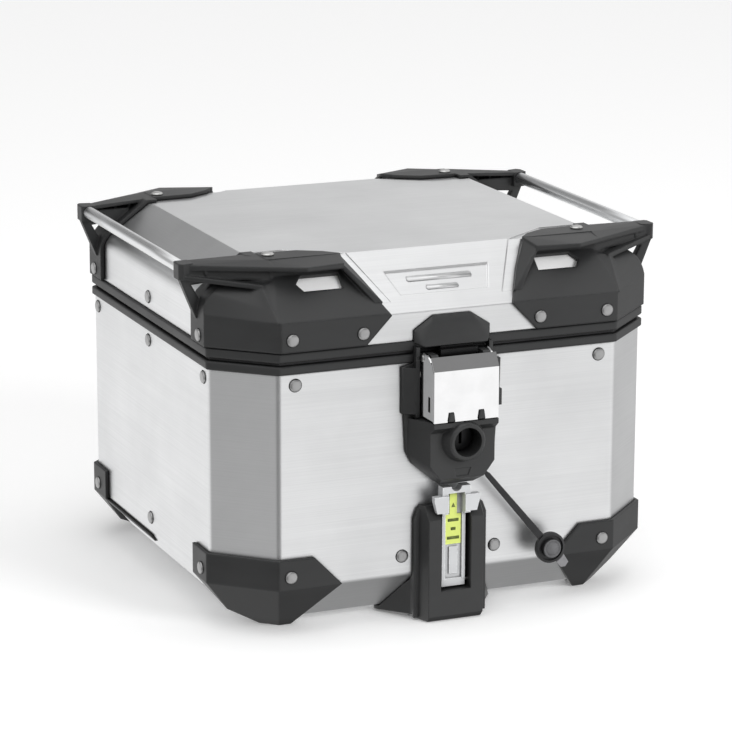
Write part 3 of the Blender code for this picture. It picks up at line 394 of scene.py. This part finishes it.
def clean_copy(node, mouth_z):
    """Return a bmesh of a node with its flat faces whole again, apart from the mouth's ring."""
    bm = bmesh.new()
    bm.from_mesh(NODES[node].data)
    bmesh.ops.remove_doubles(bm, verts=bm.verts, dist=WELD)
    verts = [v for v in bm.verts if abs(v.co.z - mouth_z) > LEVEL]
    edges = [e for e in bm.edges if not level(e, mouth_z)]
    bmesh.ops.dissolve_limit(bm, angle_limit=FLAT, verts=verts, edges=edges)
    return bm


def to_object(bm, name, mats, body):
    """Turn a bmesh into a smooth-shaded piece that rides on a body."""
    bm.verts.index_update()
    mesh = bpy.data.meshes.new(name)
    mesh.from_pydata([v.co[:] for v in bm.verts], [], [[v.index for v in f.verts] for f in bm.faces])
    for polygon, face in zip(mesh.polygons, bm.faces):
        polygon.material_index = face.material_index
    bm.free()
    mesh.shade_smooth()
    for mat in mats:
        mesh.materials.append(mat)
    obj = bpy.data.objects.new(name, mesh)
    bpy.context.scene.collection.objects.link(obj)
    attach(obj, body)
    return obj


def mark_inside(bm, mouth_z, start_z):
    """Give the second material to the faces inside a shell, found from one at a height."""
    found = [f for f in bm.faces if level(f, start_z)]
    seen = set(found)
    while found:
        face = found.pop()
        face.material_index = 1
        for edge in face.edges:
            for other in edge.link_faces:
                if other not in seen and not level(other, mouth_z):
                    seen.add(other)
                    found.append(other)


def folded(node, name, body, radius, mouth_z, start_z):
    """Rebuild a sheet-metal node with rounded folds; the edges of its mouth stay sharp."""
    bm = clean_copy(node, mouth_z)
    mark_inside(bm, mouth_z, start_z)
    folds = [e for e in bm.edges if len(e.link_faces) == 2
             and e.calc_face_angle(0.0) > math.radians(14) and not level(e, mouth_z)]
    ring = [f for f in bm.faces if level(f, mouth_z)]
    bmesh.ops.delete(bm, geom=ring, context="FACES_ONLY")
    bmesh.ops.delete(bm, geom=[e for e in bm.edges if not e.link_faces], context="EDGES")
    folds = [e for e in folds if e.is_valid]
    bmesh.ops.bevel(bm, geom=folds, offset=radius, segments=4, profile=0.5,
                    affect="EDGES", clamp_overlap=True, material=-1)
    bmesh.ops.bridge_loops(bm, edges=[e for e in bm.edges if e.is_boundary])
    bmesh.ops.recalc_face_normals(bm, faces=bm.faces)
    obj = to_object(bm, name, [SHEET, INSIDE], body)
    rim = obj.modifiers.new("rim", "BEVEL")
    rim.width = 0.0003
    rim.segments = 1
    rim.limit_method = "ANGLE"
    rim.angle_limit = math.radians(50)
    shade = obj.modifiers.new("shade", "WEIGHTED_NORMAL")
    shade.mode = "FACE_AREA_WITH_ANGLE"
    shade.weight = 80
    shade.keep_sharp = False
    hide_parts(node)
    return obj


folded("body_shell", "tub_sheet", "case", 0.0030, TUB_MOUTH_Z, TUB_FLOOR_Z)
folded("lid_shell", "lid_sheet", "lid", 0.0011, LID_MOUTH_Z, LID_CEILING_Z)


# ---------------------------------------------------------------- turned pieces
def turned(name, profile, mats, body, place, segments=40, dark_rows=()):
    """Turn a (radius, height) profile about its local Z and put it in place."""
    bm = bmesh.new()
    rows = []
    for radius, height in profile:
        if radius == 0.0:
            rows.append([bm.verts.new(place @ Vector((0, 0, height)))] * segments)
            continue
        angles = [2 * math.pi * k / segments for k in range(segments)]
        spots = [Vector((radius * math.cos(a), radius * math.sin(a), height)) for a in angles]
        rows.append([bm.verts.new(place @ spot) for spot in spots])
    for r, (low, high) in enumerate(zip(rows, rows[1:])):
        for i in range(segments):
            j = (i + 1) % segments
            corners = list(dict.fromkeys((low[i], low[j], high[j], high[i])))
            face = bm.faces.new(corners)
            face.material_index = 1 if r in dark_rows else 0
    bmesh.ops.recalc_face_normals(bm, faces=bm.faces)
    return to_object(bm, name, mats, body)


def facing(spot, normal):
    """Return the matrix that stands local +Z on a spot, along a normal."""
    turn = Vector(normal).to_track_quat("Z", "Y").to_matrix().to_4x4()
    return Matrix.Translation(Vector(spot)) @ turn


for side, sign in (("left", -1), ("right", 1)):
    end = TUBE_END
    profile = [(0.0, -end), (TUBE_RADIUS - 0.0006, -end), (TUBE_RADIUS, -end + 0.0006),
               (TUBE_RADIUS, -0.04), (TUBE_RADIUS, 0.04), (TUBE_RADIUS, end - 0.0006),
               (TUBE_RADIUS - 0.0006, end), (0.0, end)]
    tube = turned("tube_" + side, profile, [TUBE], "lid",
                  facing((sign * TUBE_X, CASE_Y, TUBE_Z), (0, 1, 0)), 64)
    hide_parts("side_tube_" + side)

# the first three rows of faces are a black ring round the head: painted shade where it meets the
# sheet
RIVET_PROFILE = [(0.0, 0.0), (0.0058, 0.0), (0.0058, 0.0003), (0.0052, 0.0004), (0.0053, 0.0009),
                 (0.0050, 0.0014), (0.0043, 0.0018), (0.0030, 0.0020), (0.0, 0.0021)]


def rivet(name, body, spot, normal):
    """Add one domed rivet with a black ring round its head, painted shade where the head meets the
    sheet.
    """
    turned("rivet_" + name, RIVET_PROFILE, [RIVET, BLACK], body, facing(spot, normal), 28, (0, 1, 2))


def face_rivets(label, body, half_y, xs_zs):
    """Add rivets on the front wall and their twins on the rear wall."""
    for n, (x, z) in enumerate(xs_zs):
        for side, sign in (("left", -1), ("right", 1)):
            for face, way in (("front", -1), ("rear", 1)):
                rivet("%s_%s_%s_%d" % (label, face, side, n), body,
                      (sign * x, CASE_Y + way * half_y, z), (0, way, 0))


def side_rivets(label, body, wall_x, ys_zs):
    """Add rivets on both side walls; y is measured from the case's middle."""
    for n, (y, z) in enumerate(ys_zs):
        for side, sign in (("left", -1), ("right", 1)):
            rivet("%s_%s_%d" % (label, side, n), body, (sign * wall_x, CASE_Y + y, z), (sign, 0, 0))


face_rivets("tub", "case", WALL_HALF_Y, [(0.1396, 0.2163), (0.0430, 0.0574)])
face_rivets("guard", "case", WALL_HALF_Y + GUARD_THICK, [(0.1450, 0.0520)])
side_rivets("tub_side", "case", WALL_X, [(-0.138, 0.217), (0.0, 0.217), (0.138, 0.217), (0.0, 0.056)])
side_rivets("guard_side", "case", WALL_X + GUARD_THICK, [(-0.1365, 0.051), (0.1365, 0.051)])
side_rivets("lid_side", "lid", LID_X, [(0.0, 0.2556)])
side_rivets("cover_side", "lid", LID_X + COVER_THICK, [(-0.1365, 0.253), (0.1365, 0.253)])
face_rivets("cover", "lid", LID_HALF_Y + COVER_THICK, [(0.1440, 0.2560), (0.0810, 0.2560)])


# ---------------------------------------------------------------- small pieces
def slab(name, outline, y_front, y_back, mat, body):
    """Add a thin slab facing -Y, from an outline of (x, z) points."""
    bm = bmesh.new()
    front, back = ([bm.verts.new((x, y, z)) for x, z in outline] for y in (y_front, y_back))
    bm.faces.new(front)
    bm.faces.new(list(reversed(back)))
    for i in range(len(outline)):
        j = (i + 1) % len(outline)
        bm.faces.new((front[i], back[i], back[j], front[j]))
    bmesh.ops.recalc_face_normals(bm, faces=bm.faces)
    return to_object(bm, name, [mat], body)


LABEL_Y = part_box("release_label")[0].y
MARK_Y = (LABEL_Y - 0.00012, LABEL_Y - 0.00002)
BAR = 0.0013                 # half the height of a printed bar
bars = [("upper", 0.0050, 0.0872), ("middle", 0.0022, 0.0795), ("lower", 0.0056, 0.0715)]
for name, half, z in bars:
    outline = [(-half, z - BAR), (half, z - BAR), (half, z + BAR), (-half, z + BAR)]
    slab("label_bar_" + name, outline, *MARK_Y, MARK, "release")
slab("label_arrow", [(-0.0018, 0.0985), (0.0018, 0.0985), (0.0, 0.1025)], *MARK_Y, MARK, "release")

def slope_point(x, height, out):
    """Return a point on the lid's front slope: at x, at a height, standing out from it."""
    length = math.hypot(SLOPE_RUN, SLOPE_CLIMB)
    y = CASE_Y - LID_HALF_Y + SLOPE_RUN * (height - LID_CREASE_Z) / SLOPE_CLIMB
    return (x, y - out * SLOPE_CLIMB / length, height + out * SLOPE_RUN / length)


def embossed_bar(name, half, low, high):
    """Add a plain raised bar with sloping sides on the floor of the lid's front recess."""
    bm = bmesh.new()
    rings = []
    corner = 0.0010
    for inset, rise in ((0.0, 0.0), (0.0002, 0.0003), (0.0006, 0.0005)):
        x, down, up = half - inset, low + inset, high - inset
        outline = [(-x + corner, down), (x - corner, down), (x, down + corner), (x, up - corner),
                   (x - corner, up), (-x + corner, up), (-x, up - corner), (-x, down + corner)]
        rings.append([bm.verts.new(slope_point(px, pz, rise - RECESS_DEPTH)) for px, pz in outline])
    bm.faces.new(rings[0])
    bm.faces.new(rings[-1])
    for inner, outer in zip(rings, rings[1:]):
        for i in range(8):
            j = (i + 1) % 8
            bm.faces.new((inner[i], inner[j], outer[j], outer[i]))
    bmesh.ops.recalc_face_normals(bm, faces=bm.faces)
    to_object(bm, name, [SHEET], "lid")


embossed_bar("badge_bar_upper", 0.0300, 0.2900, 0.2942)
embossed_bar("badge_bar_lower", 0.0150, 0.2836, 0.2872)

CAP_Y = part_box("dust_cap")[0].y
DISC = [(0.0, 0.0), (0.0080, 0.0), (0.0080, 0.0008), (0.0074, 0.0013), (0.0067, 0.0008),
        (0.0060, 0.0003), (0.0054, 0.0008), (0.0048, 0.0011), (0.0, 0.0010)]
turned("cap_disc", DISC, [CAP_GREY], "cap",
       facing((CAP_CENTRE[0], CAP_Y + 0.0003, CAP_CENTRE[1]), (0, -1, 0)), 40)


# ---------------------------------------------------------------- stage
def stage_material(name, colour, glow=0.0):
    """Return the plain material of a stage piece."""
    g = Graph(name)
    return g.set(Base_Color=colour, Roughness=0.9, Specular_IOR_Level=0.0,
                 Emission_Color=(1.0, 1.0, 1.0), Emission_Strength=glow)


def make_floor():
    """Pale floor that the metal and the plastic don't see."""
    bm = bmesh.new()
    bmesh.ops.create_circle(bm, cap_ends=True, segments=64, radius=STAGE_RADIUS)
    mesh = bpy.data.meshes.new("floor")
    bm.to_mesh(mesh)
    bm.free()
    floor = bpy.data.objects.new("floor", mesh)
    bpy.context.scene.collection.objects.link(floor)
    floor.data.materials.append(stage_material("pale_floor", (0.95, 0.95, 0.95), 0.12))
    floor.location.z = -0.0002
    floor.visible_glossy = False
    floor.visible_diffuse = False


def make_sky():
    """White dome behind everything, seen by the camera only."""
    bm = bmesh.new()
    bmesh.ops.create_uvsphere(bm, u_segments=48, v_segments=24, radius=STAGE_RADIUS)
    mesh = bpy.data.meshes.new("dome")
    bm.to_mesh(mesh)
    bm.free()
    dome = bpy.data.objects.new("dome", mesh)
    bpy.context.scene.collection.objects.link(dome)
    dome.data.materials.append(stage_material("white_dome", (0.0, 0.0, 0.0), 1.0))
    for way in ("diffuse", "glossy", "transmission", "volume_scatter", "shadow"):
        setattr(dome, "visible_" + way, False)


# direction, how much darker, and the cosine where the patch starts
DARK_PATCHES = [((-0.864, -0.438, -0.15), 0.60, 0.70), ((0.914, 0.318, -0.20), 0.38, 0.72),
                ((0.379, -0.690, 0.620), 0.78, 0.80), ((-0.150, 0.880, 0.440), 0.74, 0.84),
                ((0.380, 0.100, -0.920), 0.70, 0.62), ((-0.350, -0.900, -0.250), 0.85, 0.84),
                ((0.500, 0.840, 0.230), 0.26, 0.84),
                ((-0.690, 0.490, 0.290), 0.60, 0.90)]


def make_world():
    """Soft studio surround: white, with dimmer patches that model the metal."""
    world = bpy.data.worlds.new("studio")
    bpy.context.scene.world = world
    world.use_nodes = True
    nodes, links = world.node_tree.nodes, world.node_tree.links
    way = nodes.new("ShaderNodeTexCoord").outputs["Generated"]
    level = None
    for direction, depth, start in DARK_PATCHES:
        dot = nodes.new("ShaderNodeVectorMath")
        dot.operation = "DOT_PRODUCT"
        links.new(way, dot.inputs[0])
        dot.inputs[1].default_value = Vector(direction).normalized()
        patch = nodes.new("ShaderNodeMapRange")
        patch.interpolation_type = "SMOOTHSTEP"
        links.new(dot.outputs["Value"], patch.inputs["Value"])
        for key, value in (("From Min", start), ("From Max", 0.98), ("To Min", 1.0),
                           ("To Max", 1.0 - depth)):
            patch.inputs[key].default_value = value
        if level is None:
            level = patch.outputs[0]
            continue
        times = nodes.new("ShaderNodeMath")
        times.operation = "MULTIPLY"
        links.new(level, times.inputs[0])
        links.new(patch.outputs[0], times.inputs[1])
        level = times.outputs[0]
    back = nodes["Background"]
    links.new(level, back.inputs["Color"])
    back.inputs["Strength"].default_value = 1.0


def area_light(name, spot, target, size, power):
    """Add a square area light at a spot, aimed at a target."""
    light = bpy.data.lights.new(name, "AREA")
    light.shape = "SQUARE"
    light.size = size
    light.energy = power
    lamp = bpy.data.objects.new(name, light)
    bpy.context.scene.collection.objects.link(lamp)
    lamp.location = spot
    lamp.rotation_mode = "QUATERNION"
    lamp.rotation_quaternion = (Vector(target) - Vector(spot)).to_track_quat("-Z", "Y")
    return lamp


def make_camera():
    """Camera at the photograph's viewing angle."""
    data = bpy.data.cameras.new("camera")
    data.sensor_width = 36.0
    data.lens = 157.0
    data.clip_end = 60.0
    camera = bpy.data.objects.new("camera", data)
    bpy.context.scene.collection.objects.link(camera)
    camera.location = (-1.07976, -2.53694, 0.88482)
    forward = Vector((0.378970, 0.891405, -0.248555))
    turn = forward.to_track_quat("-Z", "Y").to_matrix().to_4x4()
    camera.rotation_mode = "QUATERNION"
    camera.rotation_quaternion = (turn @ Matrix.Rotation(0.0028, 4, "Z")).to_quaternion()
    bpy.context.scene.camera = camera


make_floor()
make_sky()
make_world()
area_light("overhead", (-0.3, -0.4, 2.6), (0, 0, 0.1), 2.2, 9.0)
area_light("key", (1.3, -2.6, 1.5), (0, 0, 0.15), 1.2, 46.0).visible_glossy = False
make_camera()
bpy.context.scene.view_settings.view_transform = "Standard"
